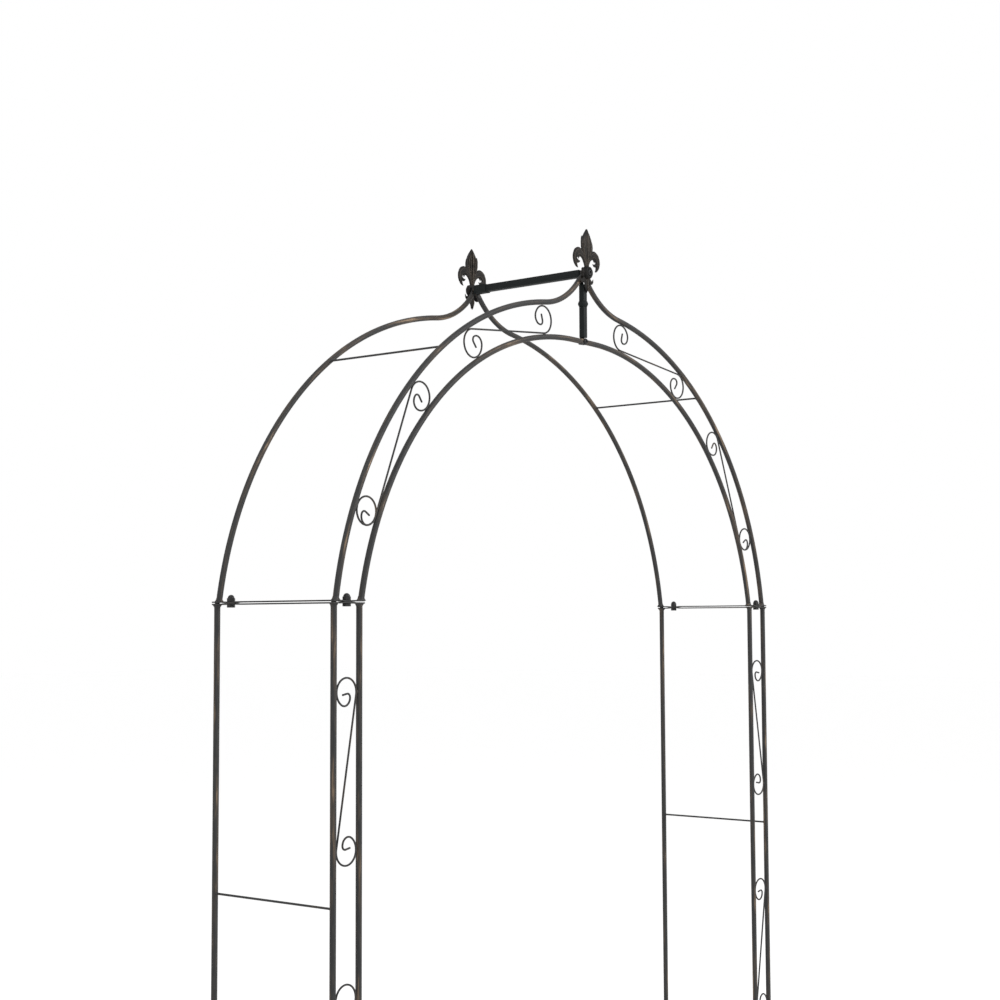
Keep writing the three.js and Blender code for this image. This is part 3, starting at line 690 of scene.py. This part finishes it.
def buildScroll(name, lower, upper, hand):
    apart = hypot(upper["x"] - lower["x"], upper["z"] - lower["z"])
    heading = atan2(upper["z"] - lower["z"], upper["x"] - lower["x"])
    crossing = asin((lower["radius"] + upper["radius"]) / apart)
    contact = heading + hand * (pi / 2 - crossing)
    lowPoints, lowSpot = spiral(lower, contact, hand)
    highPoints, highSpot = spiral(upper, contact + pi, hand)
    trail = lowPoints[::-1] + highPoints
    way = (trail[1] - trail[0]).normalized()
    tip = scroll["tip"]
    start = trail[0] - way * scroll["radius"] * tip
    wire = Bar(start, way, radius=scroll["radius"] * tip, count=14)
    wire.grow(trail[0] - start, 1 / tip, 1 / tip)
    wire.follow(trail[1:])
    wire.grow(wire.heading * scroll["radius"] * tip, tip, tip)
    for spot in (lowSpot, highSpot):
        addSpot(wire.bm, spot, scroll["weld"], scroll["weldStretch"])
    finishPiece(wire.bm, f"scroll_wire_{name}", [f"scroll_{name}"], "wire", wire.marks)


panelEye = {
    "radius": (place["halfSpan"] - place["railX"]) / 2 - post["radius"] - scroll["radius"] - scroll["clearance"],
    "rails": [0, pi],
}
bays = 3
bayHeight = place["jointZ"] / bays
for side, sign in sides.items():
    eyeX = sign * (place["halfSpan"] + place["railX"]) / 2
    for bay in range(1, bays + 1):
        top = place["jointZ"] - (bay - 1) * bayHeight
        upper = {**panelEye, "x": eyeX, "z": top - scroll["headInset"]}
        lower = {**panelEye, "x": eyeX, "z": top - bayHeight + scroll["footInset"]}
        buildScroll(f"panel_{bay}_{side}", lower, upper, -sign if bay % 2 else sign)
    for which, hand in (("low", sign), ("high", -sign)):
        lower, upper = (eyeBetween(sign, bearing) for bearing in scroll[f"{which}Bearings"])
        buildScroll(f"hoop_{which}_{side}", lower, upper, hand)
print("scrolls made")


# crossbars

crossbar = {"radius": 0.002, "endIn": 0.001, "weldOut": 0.0006, "weldHeight": 0.0032, "weldRadius": 0.0040}


def buildCrossbar(name, node):
    centre = middleOf(node)
    reach = post["radius"] - crossbar["endIn"]
    near = Vector((centre.x, place["frontY"] + reach, centre.z))
    far = Vector((centre.x, place["backY"] - reach, centre.z))
    bar = Bar(near, depthwise, radius=crossbar["radius"], count=14)
    bar.run((far - near).length, 4)
    for spot, way in ((near, depthwise), (far, -depthwise)):
        addWeld(bar.bm, spot + way * crossbar["weldOut"], way, crossbar["radius"], crossbar["weldHeight"],
                crossbar["weldRadius"], crossbar["weldRadius"], rightward)
    finishPiece(bar.bm, name, [node], "wire", bar.marks)


for side in sides:
    for spot in ("panel_1", "panel_2", "hoop"):
        buildCrossbar(f"tie_bar_{spot}_{side}", f"crossbar_{spot}_{side}")
print("crossbars made")


# square bars at the top

square = {"half": 0.006, "edge": 0.0009,
          "tongueLength": 0.024, "tongueFoot": 0.0085, "tongueHalf": 0.0015, "rootIn": 0.003}


def boxBetween(bm, low, high):
    size = high - low
    middle = (low + high) / 2
    where = Matrix.Translation(middle) @ Matrix.Diagonal((size.x, size.y, size.z, 1))
    return bmesh.ops.create_cube(bm, size=1.0, matrix=where)["verts"]


def buildRidge():
    for name, node in (("ridge_square_bar", "ridge_bar"), ("ridge_sleeve", "ridge_socket")):
        low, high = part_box(node)
        bm = bmesh.new()
        boxBetween(bm, low, high)
        roundEdges(bm, square["edge"], 3)
        middle = (low + high) / 2
        marks = [Vector((middle.x, y, middle.z)) for y in (low.y, high.y)]
        finishPiece(bm, name, [node], "black", marks)


def addTongue(bm, boltZ, rootZ):  # a flat tongue with a round end about its bolt
    y = place["frontY"] + lug["pitch"]
    half = square["half"]
    bmesh.ops.create_cone(bm, cap_ends=True, segments=32, radius1=half, radius2=half,
                          depth=2 * square["tongueHalf"],
                          matrix=Matrix.Translation((0, y, boltZ)) @ Matrix.Rotation(pi / 2, 4, "X"))
    low, high = sorted((boltZ, rootZ))
    inside = (half * 0.999, square["tongueHalf"] * 0.99)  # so that no two faces lie in one plane
    boxBetween(bm, Vector((-inside[0], y - inside[1], low)), Vector((inside[0], y + inside[1], high)))


def buildCentreBar():
    bm = bmesh.new()
    half = square["half"]
    top = place["apexZ"] - square["tongueLength"]
    foot = place["crownZ"] + square["tongueFoot"]
    front = place["frontY"]
    boxBetween(bm, Vector((-half, front - half, foot)), Vector((half, front + half, top)))
    addTongue(bm, place["apexZ"], top - square["rootIn"])
    addTongue(bm, place["crownZ"], foot + square["rootIn"])
    roundEdges(bm, square["edge"] * 0.7, 2)
    marks = [Vector((0, front, z)) for z in (place["crownZ"], place["apexZ"])]
    finishPiece(bm, "centre_square_bar", ["centre_bar"], "black", marks)


beadHalf = ((0.0105, 0.0012), (0.0099, 0.0028), (0.0090, 0.0038), (0.0092, 0.0046), (0.0086, 0.0055),
            (0.0066, 0.0055))
bead = {"half": 0.006, "profile": tuple((radius, -height) for radius, height in beadHalf[::-1]) + beadHalf}


def lathe(bm, profile, centre, axis, steps, closed=False):  # radii and heights turned full circle
    verts = [bm.verts.new(centre + rightward * radius + axis * height) for radius, height in profile]
    pairs = list(zip(verts, verts[1:])) + ([(verts[-1], verts[0])] if closed else [])
    edges = [bm.edges.new(pair) for pair in pairs]
    bmesh.ops.spin(bm, geom=verts + edges, cent=centre, axis=axis, angle=2 * pi, steps=steps, use_merge=True)
    bmesh.ops.remove_doubles(bm, verts=bm.verts, dist=1e-6)


def buildBead():
    bm = bmesh.new()
    centre = middleOf("centre_bar_ring")
    lathe(bm, bead["profile"], centre, upward, 36, closed=True)
    marks = [Vector((0, place["frontY"], centre.z + side * bead["half"])) for side in (-1, 1)]
    finishPiece(bm, "centre_bar_bead", ["centre_bar_ring"], "black", marks)


buildRidge()
buildCentreBar()
buildBead()
print("square bars made")


# fasteners

pan = {"head": 0.0065, "height": 0.004, "shank": 0.003, "socket": 0.0030, "socketDepth": 0.0026}
hexBolt = {"across": 0.013, "headHeight": 0.0055, "seat": 0.00245, "shank": 0.004, "shankIn": 0.002,
           "nutHeight": 0.0065, "dome": 0.006, "domeIn": 0.0002, "domeFoot": 0.003, "chamfer": 0.0007,
           "crownNut": 0.010}


def buildPanBolt(node):
    low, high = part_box(node)
    middle = (low + high) / 2
    outward = 1 if node == "finial_bolt_back" else -1
    face = (low.y + pan["height"]) if outward < 0 else (high.y - pan["height"])
    length = (high.y - low.y) - pan["height"]
    centre = Vector((middle.x, face, middle.z))
    rim = pan["head"]
    top = pan["height"]
    profile = [(0, -length), (pan["shank"] * 0.8, -length), (pan["shank"], -length + 0.0006), (pan["shank"], 0),
               (rim * 0.97, 0), (rim, 0.0004), (rim, 0.0012), (rim * 0.95, top * 0.55), (rim * 0.82, top * 0.80),
               (rim * 0.62, top * 0.95), (pan["socket"] * 1.25, top), (pan["socket"], top - 0.0002),
               (pan["socket"] * 0.9, top - pan["socketDepth"]), (0, top - pan["socketDepth"] * 1.2)]
    bm = bmesh.new()
    lathe(bm, profile, centre, depthwise * outward, 28)
    finishPiece(bm, f"pan_{node}", [node], "bolt")


def hexPrism(bm, across, height, base, axis):  # its corners lie to the front and back, or left and right
    radius = across / sqrt(3)
    corner = rightward if abs(axis.y) > 0.9 else depthwise
    where = Matrix.Translation(base + axis * height / 2) @ turnTo(corner.cross(axis), corner, axis)
    made = bmesh.ops.create_cone(bm, cap_ends=True, segments=6, radius1=radius, radius2=radius, depth=height,
                                 matrix=where)
    verts = set(made["verts"])
    rims = [edge for edge in bm.edges if set(edge.verts) <= verts
            and abs((edge.verts[0].co - edge.verts[1].co).dot(axis)) < 1e-6]
    bmesh.ops.bevel(bm, geom=rims, offset=hexBolt["chamfer"], offset_type="OFFSET", segments=2, profile=0.5,
                    affect="EDGES", material=-1, clamp_overlap=True)


def buildJointFastener(spot, side):
    centre = middleOf(f"joint_bolt_{spot}_{side}")
    base = Vector((centre.x, centre.y, place["jointZ"]))
    bm = bmesh.new()
    hexPrism(bm, hexBolt["across"], hexBolt["headHeight"], base - upward * hexBolt["seat"], -upward)
    bmesh.ops.create_cone(bm, cap_ends=True, segments=20, radius1=hexBolt["shank"], radius2=hexBolt["shank"],
                          depth=2 * (hexBolt["seat"] + hexBolt["shankIn"]), matrix=Matrix.Translation(base))
    finishPiece(bm, f"hex_bolt_{spot}_{side}", [f"joint_bolt_{spot}_{side}"], "bolt", sharp=25)
    bm = bmesh.new()
    seat = base + upward * hexBolt["seat"]
    hexPrism(bm, hexBolt["across"], hexBolt["nutHeight"], seat, upward)
    dome = seat + upward * (hexBolt["nutHeight"] - hexBolt["domeIn"])
    radius = hexBolt["dome"]
    profile = [(0, -hexBolt["domeFoot"]), (radius * 0.97, -hexBolt["domeFoot"]), (radius * 0.985, 0)]
    profile += [(radius * cos(radians(lean)), radius * sin(radians(lean))) for lean in range(10, 90, 10)]
    lathe(bm, [*profile, (0, radius)], dome, upward, 28)
    finishPiece(bm, f"cap_nut_{spot}_{side}", [f"dome_nut_{spot}_{side}"], "bolt", sharp=25)


for node in ("finial_bolt_front", "finial_bolt_back", "crown_bolt"):
    buildPanBolt(node)
for side in sides:
    for spot in ("front", "back"):
        buildJointFastener(spot, side)
low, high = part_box("crown_nut")
bm = bmesh.new()
hexPrism(bm, hexBolt["crownNut"], high.y - low.y, Vector((0, low.y, place["crownZ"])), depthwise)
finishPiece(bm, "crown_hex_nut", ["crown_nut"], "bolt", sharp=25)
print("fasteners made")


# finials

finial = {"seat": 0.0063, "depth": 0.006, "leafSides": 18, "leastGirth": 0.4, "lumps": 160, "roughen": 0.0003}
leaves = {  # in mm: points down the middle in x and z, then half width and half thickness at each
    "spear": (((0, 6), (0, 14), (0, 26), (0, 38), (0, 50), (0, 61), (0, 70), (0, 78), (0, 85), (0, 90), (0, 91.5)),
              (6.0, 6.4, 8.0, 12, 16.5, 18.8, 17.2, 12.6, 7, 2.6, 0.6),
              (2.2, 2.4, 2.6, 2.9, 3.0, 3.0, 2.9, 2.6, 2.2, 1.6, 0.7)),
    "flankRight": (((3, 9), (5, 20), (8, 31), (12, 41), (15.4, 50), (17.4, 58), (18.4, 64), (18.8, 68)),
                   (2.4, 3.6, 5.4, 7.2, 7.6, 6.0, 3.6, 0.8),
                   (1.8, 2.0, 2.2, 2.3, 2.2, 1.9, 1.3, 0.6)),
    "flankLeft": (((-3, 9), (-5, 20), (-8, 33), (-11.5, 45), (-14, 56), (-15.6, 65), (-16.4, 71), (-16.8, 75)),
                  (2.2, 3.2, 4.6, 5.6, 5.6, 4.2, 2.4, 0.6),
                  (1.8, 2.0, 2.2, 2.3, 2.2, 1.9, 1.3, 0.6)),
    "curl": (((3, 9), (6, 20), (11, 30), (18, 37), (27, 40), (35, 37.5), (40, 31), (41.6, 23), (39.5, 15.5),
              (35.5, 9.5), (31, 6.5)),
             (2.6, 3.8, 5.6, 8.2, 9.4, 9.2, 8.4, 7.0, 5.2, 3.0, 0.6),
             (2.0, 2.3, 2.6, 2.9, 3.0, 3.0, 2.9, 2.7, 2.3, 1.6, 0.6)),
    "barb": (((36, 21), (31, 19.5), (26.5, 19.5), (23, 22)), (4.0, 3.6, 2.2, 0.5), (2.2, 1.9, 1.3, 0.5)),
    "thorn": (((26, 34), (27.5, 30.5), (28.5, 27.5), (28.6, 25)), (3.2, 2.6, 1.5, 0.4), (2.0, 1.7, 1.1, 0.4)),
    "tail": (((0, -5), (0, -12), (0, -20), (0, -28), (0, -35), (0, -39.5), (0, -42)),
             (4.4, 5.6, 7.4, 7.4, 4.6, 2.0, 0.5), (2.2, 2.5, 2.8, 2.7, 2.2, 1.5, 0.6)),
    "spur": (((5, -6), (8, -12), (12.5, -17), (18, -18.5), (22, -16), (24.5, -10.5)),
             (3.6, 4.8, 5.0, 4.2, 2.4, 0.5), (2.0, 2.2, 2.2, 1.9, 1.3, 0.5)),
}
ribs = {  # raised lines, in mm: points in x and z and the line's radius
    "midrib": (((0, 10), (0, 30), (0, 52), (0, 71), (0, 86)), 1.4),
    "veinInner": (((2.2, 12), (3.2, 28), (5.8, 45), (7.0, 58), (5.2, 71), (1.8, 83)), 1.0),
    "veinOuter": (((4.4, 13), (6.2, 28), (11.2, 44), (13.4, 57), (11.2, 69), (5.6, 79)), 0.9),
    "flankVein": (((4, 14), (7.6, 30), (12.4, 43), (16, 54), (17.6, 63)), 0.9),
    "curlRim": (((4, 13), (8, 25), (14.0, 37), (25, 44.5), (36.5, 41.5), (43.8, 33), (45, 24), (42, 15.5),
                 (35, 9)), 1.0),
    "curlVein": (((5, 13), (9, 24), (16, 32), (26, 35.5), (33, 33), (37, 27.5), (38.4, 21.5), (36, 14.5)), 0.9),
    "tailRib": (((0, -8), (0, -20), (0, -32), (0, -39)), 1.1),
}
collar = {
    "bore": 0.0036, "radius": 0.0133, "socket": 0.0070, "depth": 0.009,
    "lip": 0.0030,  # stands round the head of the bolt
    "lumpAt": 0.0126, "lumpRadius": 0.0062, "lumps": ((0, 1.0), (0.0056, 0.72), (-0.0056, 0.72)),
    "bandHalf": 0.0135, "bandRadius": 0.0019, "bands": (-0.0036, 0, 0.0036),
}


def smoothLine(points, count):  # a Catmull-Rom line through the points
    ends = [points[0] * 2 - points[1], *points, points[-1] * 2 - points[-2]]
    line = []
    spans = len(points) - 1
    for i in range(count + 1):
        at = min(i / count * spans, spans - 1e-9)
        k = int(at)
        t = at - k
        a, b, c, d = ends[k:k + 4]
        line.append(0.5 * ((2 * b) + (c - a) * t + (2 * a - 5 * b + 4 * c - d) * t ** 2
                           + (3 * b - a - 3 * c + d) * t ** 3))
    return line


def joinInto(bm, part):  # leaves are grown apart, because a small mesh extrudes faster
    mesh = bpy.data.meshes.new("part")
    part.to_mesh(mesh)
    part.free()
    bm.from_mesh(mesh)
    bpy.data.meshes.remove(mesh)


def leafBody(bm, leaf, flip, origin):  # a lens-shaped leaf swept down its middle line
    spots, halfWidths, halfDepths = leaf
    count = 6 * (len(spots) - 1)
    lay = smoothLine([origin + Vector((x * flip, 0, z)) * 0.001 for x, z in spots], count)
    girths = smoothLine([Vector(girth) for girth in zip(halfWidths, halfDepths)], count)
    girths = [[max(finial["leastGirth"], value) for value in girth] for girth in girths]
    body = Bar(lay[0], lay[1] - lay[0], radius=0.001, count=finial["leafSides"])
    body.widen(*girths[0])
    for spot, now, before in zip(lay[1:], girths[1:], girths):
        body.follow([spot], [(now[0] / before[0], now[1] / before[1])])
    joinInto(bm, body.bm)


def ribLine(bm, rib, flip, origin, lift):  # a raised line, thickest and highest at its middle
    spots, radius = rib
    count = 5 * (len(spots) - 1)
    lay = smoothLine([origin + Vector((x * flip, 0, z)) * 0.001 for x, z in spots], count)
    before = 0.4
    line = Bar(lay[0], lay[1] - lay[0], radius=radius * 0.001 * before, count=8)
    for step in range(1, count + 1):
        share = step / count
        wanted = 0.35 + 0.65 * sin(pi * (share * 0.9 + 0.05)) ** 0.5
        line.follow([lay[step] + lift * sin(pi * share)], [(wanted / before, wanted / before)])
        before = wanted
    joinInto(bm, line.bm)


def addCollar(bm, seatY, plane, out):  # a ring round the bolt, with a cluster of lumps and bands beside it
    bolt = Vector((0, seatY, place["apexZ"]))
    middle = Vector((0, plane, place["apexZ"]))
    bore, radius, socket = collar["bore"], collar["radius"], collar["socket"]
    deep, lip = collar["depth"], collar["lip"]
    profile = [(bore, 0), (radius - 0.0007, 0), (radius - 0.0001, 0.0008), (radius, deep - 0.0030),
               (radius - 0.0005, deep - 0.0004), (radius - 0.0017, deep + lip * 0.7), (radius - 0.0033, deep + lip),
               (socket + 0.0014, deep + lip * 0.8), (socket + 0.0004, deep + lip * 0.3), (socket, deep - 0.0002),
               (bore, deep - 0.0002)]
    lathe(bm, profile, bolt, out, 36, closed=True)
    for flip in (1, -1):
        for height, girth in collar["lumps"]:
            spot = middle + rightward * flip * collar["lumpAt"] + upward * height
            bmesh.ops.create_uvsphere(bm, u_segments=16, v_segments=10, radius=collar["lumpRadius"] * girth,
                                      matrix=Matrix.Translation(spot) @ Matrix.Diagonal((1.0, 0.72, 1.0, 1)))
    for height in collar["bands"]:
        start = middle - rightward * collar["bandHalf"] + upward * height
        band = Bar(start, rightward, radius=collar["bandRadius"], count=12, shared=bm)
        band.run(2 * collar["bandHalf"])
        bmesh.ops.scale(bm, vec=(1, 1.6, 1), space=Matrix.Translation(-middle), verts=band.face.verts)


def buildFinial(name, y, outward):
    bm = bmesh.new()
    plane = y + outward * (finial["seat"] + finial["depth"] / 2)
    origin = Vector((0, plane, place["apexZ"]))
    out = depthwise * outward
    facing = -outward  # the broader flank leaf is on the right, seen from outside
    pieces = [("spear", 1), ("tail", 1), ("flankRight", facing), ("flankLeft", facing)]
    pieces += [(leaf, flip) for leaf in ("curl", "barb", "thorn", "spur") for flip in (1, -1)]
    for leaf, flip in pieces:
        nearer = 0.0006 if leaf == "spear" else -0.0002
        leafBody(bm, leaves[leaf], flip, origin + out * nearer)
    bodyCount = len(bm.verts)
    lines = [("midrib", 1, 0.0033), ("tailRib", 1, 0.0026)]
    lines += [(line, flip, 0.0024) for line in ("veinInner", "veinOuter") for flip in (1, -1)]
    lines += [(line, flip, 0.0017) for line in ("flankVein", "curlRim", "curlVein") for flip in (1, -1)]
    for line, flip, height in lines:
        for face in (out, -out):
            ribLine(bm, ribs[line], flip, origin + face * height, face * 0.00042)
    ribEnd = len(bm.verts)
    addCollar(bm, y + outward * finial["seat"], plane, out)
    raised = [float(bodyCount <= i < ribEnd) for i in range(len(bm.verts))]
    for vert in bm.verts:
        vert.co += noise.noise_vector(vert.co * finial["lumps"]) * finial["roughen"]
    piece = finishPiece(bm, f"fleur_{name}", [f"finial_{name}"], "cast", sharp=60)
    layer = piece.data.attributes.new("raised", "FLOAT", "POINT")
    layer.data.foreach_set("value", raised)


buildFinial("front", place["frontY"], -1)
buildFinial("back", place["backY"], 1)
print("finials made")


# stage

stage = {
    "floor": 40, "floorColour": (0.80, 0.80, 0.80), "floorLift": 0.42, "skyLight": 0.70,
    # each lamp: its place, what it looks at, its size and its power
    "lamps": {"key": ((1.6, -4.2, 3.6), (0, 0, 1.6), 1.8, 150), "fill": ((-4.0, -1.0, 4.5), (0, 0, 1.4), 2.5, 60)},
}
camera = {
    "spot": Vector((-2.833, -2.074, 1.4925)), "yaw": radians(52.80), "pitch": radians(4.20),
    "roll": radians(-0.24), "lens": 60.41,
}


def aim():
    yaw, pitch, roll = camera["yaw"], camera["pitch"], camera["roll"]
    forward = Vector((sin(yaw) * cos(pitch), cos(yaw) * cos(pitch), sin(pitch)))
    level = Vector((cos(yaw), -sin(yaw), 0))
    above = level.cross(forward)
    right = cos(roll) * level + sin(roll) * above
    return turnTo(right, -sin(roll) * level + cos(roll) * above, -forward)


lensData = bpy.data.cameras.new("camera")
lensData.sensor_width = 36
lensData.lens = camera["lens"]
eye = bpy.data.objects.new("camera", lensData)
eye.matrix_world = Matrix.Translation(camera["spot"]) @ aim()
bpy.context.scene.collection.objects.link(eye)
bpy.context.scene.camera = eye


def whiteToLook(graph):  # 1 where the eye, a mirror or a glass looks, 0 where light is gathered
    seen = graph.node("ShaderNodeLightPath", {}, {}, "Is Camera Ray")
    rays = seen.socket.node.outputs
    for kind in ("Is Glossy Ray", "Is Transmission Ray"):
        seen = seen.reckon("MAXIMUM", seen, Signal(graph, rays[kind]))
    return seen


def makeFloor():
    bm = bmesh.new()
    bmesh.ops.create_grid(bm, x_segments=1, y_segments=1, size=stage["floor"])
    mesh = bpy.data.meshes.new("floor")
    bm.to_mesh(mesh)
    bm.free()
    floor = bpy.data.objects.new("floor", mesh)
    bpy.context.scene.collection.objects.link(floor)
    finish = Finish("pale_floor", stage["floorColour"], 0.9)
    finish.onto("Specular IOR Level", 0.1)
    finish.onto("Emission Color", (1, 1, 1, 1))
    finish.onto("Emission Strength", whiteToLook(finish) * stage["floorLift"])
    mesh.materials.append(finish.material)


def makeWorld():
    world = bpy.data.worlds.new("world")
    bpy.context.scene.world = world
    world.use_nodes = True
    graph = Graph(world.node_tree)
    strength = graph.node("ShaderNodeMapRange", {}, {
        "Value": whiteToLook(graph), "To Min": stage["skyLight"], "To Max": 1.0})
    background = world.node_tree.nodes["Background"]
    graph.feed(background.inputs["Color"], (1, 1, 1, 1))
    graph.feed(background.inputs["Strength"], strength)


def makeLamp(name, spot, target, size, power):
    data = bpy.data.lights.new(name, "AREA")
    data.shape = "DISK"
    data.size = size
    data.energy = power
    lamp = bpy.data.objects.new(name, data)
    look = (Vector(target) - Vector(spot)).to_track_quat("-Z", "Y").to_matrix().to_4x4()
    lamp.matrix_world = Matrix.Translation(spot) @ look
    bpy.context.scene.collection.objects.link(lamp)


makeFloor()
makeWorld()
for name, look in stage["lamps"].items():
    makeLamp(name, *look)
bpy.context.scene.view_settings.view_transform = "Standard"
print("stage made")
